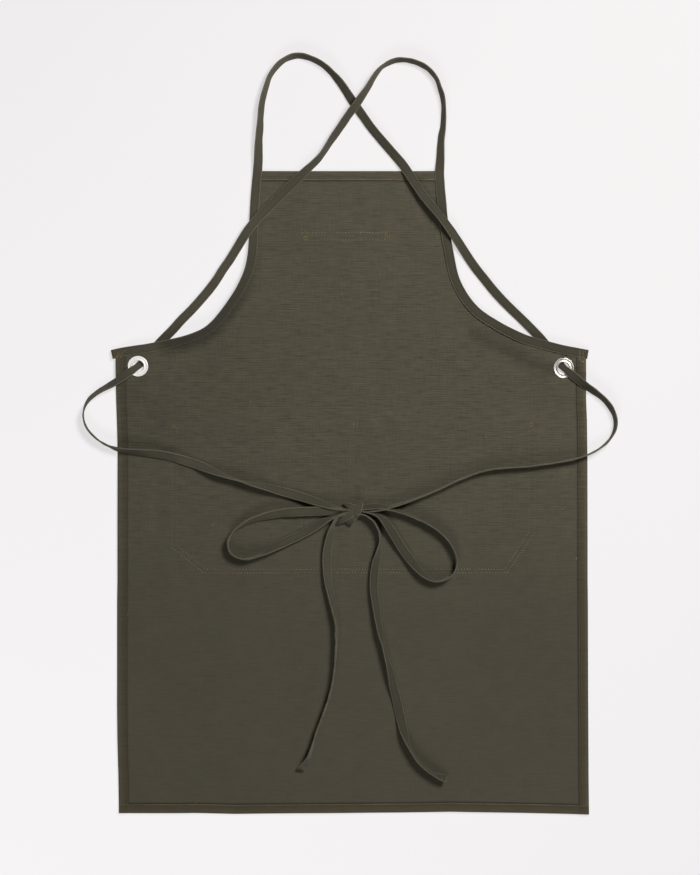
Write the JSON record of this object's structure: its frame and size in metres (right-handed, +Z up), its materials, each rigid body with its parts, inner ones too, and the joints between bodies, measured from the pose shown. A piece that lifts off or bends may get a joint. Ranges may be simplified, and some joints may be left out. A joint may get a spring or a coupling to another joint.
{
  "type": "work apron",
  "caption": "Cross-back canvas work apron laid flat on its front, with bib, wide pocket, bound armholes, grommeted wings and tape straps tied in a bow.",
  "frame": {"origin": "on the surface that the apron lies on, under the middle of the panel, on the pocket's flat front face", "axes": "+Z up from the surface, +Y along the apron from the bottom hem to the neck straps, +X to the right as seen from above, which shows the inside face"},
  "size_m": [0.7503, 1.062, 0.0188],
  "materials": {
    "canvas": "matt cotton duck canvas",
    "tape": "matt folded cotton tape",
    "nickel": "bright nickel plate"
  },
  "bodies": {
    "root": {"apron_panel": "canvas", "pocket": "canvas", "chest_tape": "tape", "armhole_binding_left": "tape", "armhole_binding_right": "tape", "grommet_left": "nickel", "grommet_right": "nickel", "neck_strap_left": "tape", "neck_strap_right": "tape", "waist_tie_left": "tape", "waist_tie_right": "tape", "bow_tail_left": "tape", "bow_tail_right": "tape", "bow_loop_left": "tape", "bow_loop_right": "tape", "bow_knot": "tape"}
  },
  "joints": []
}
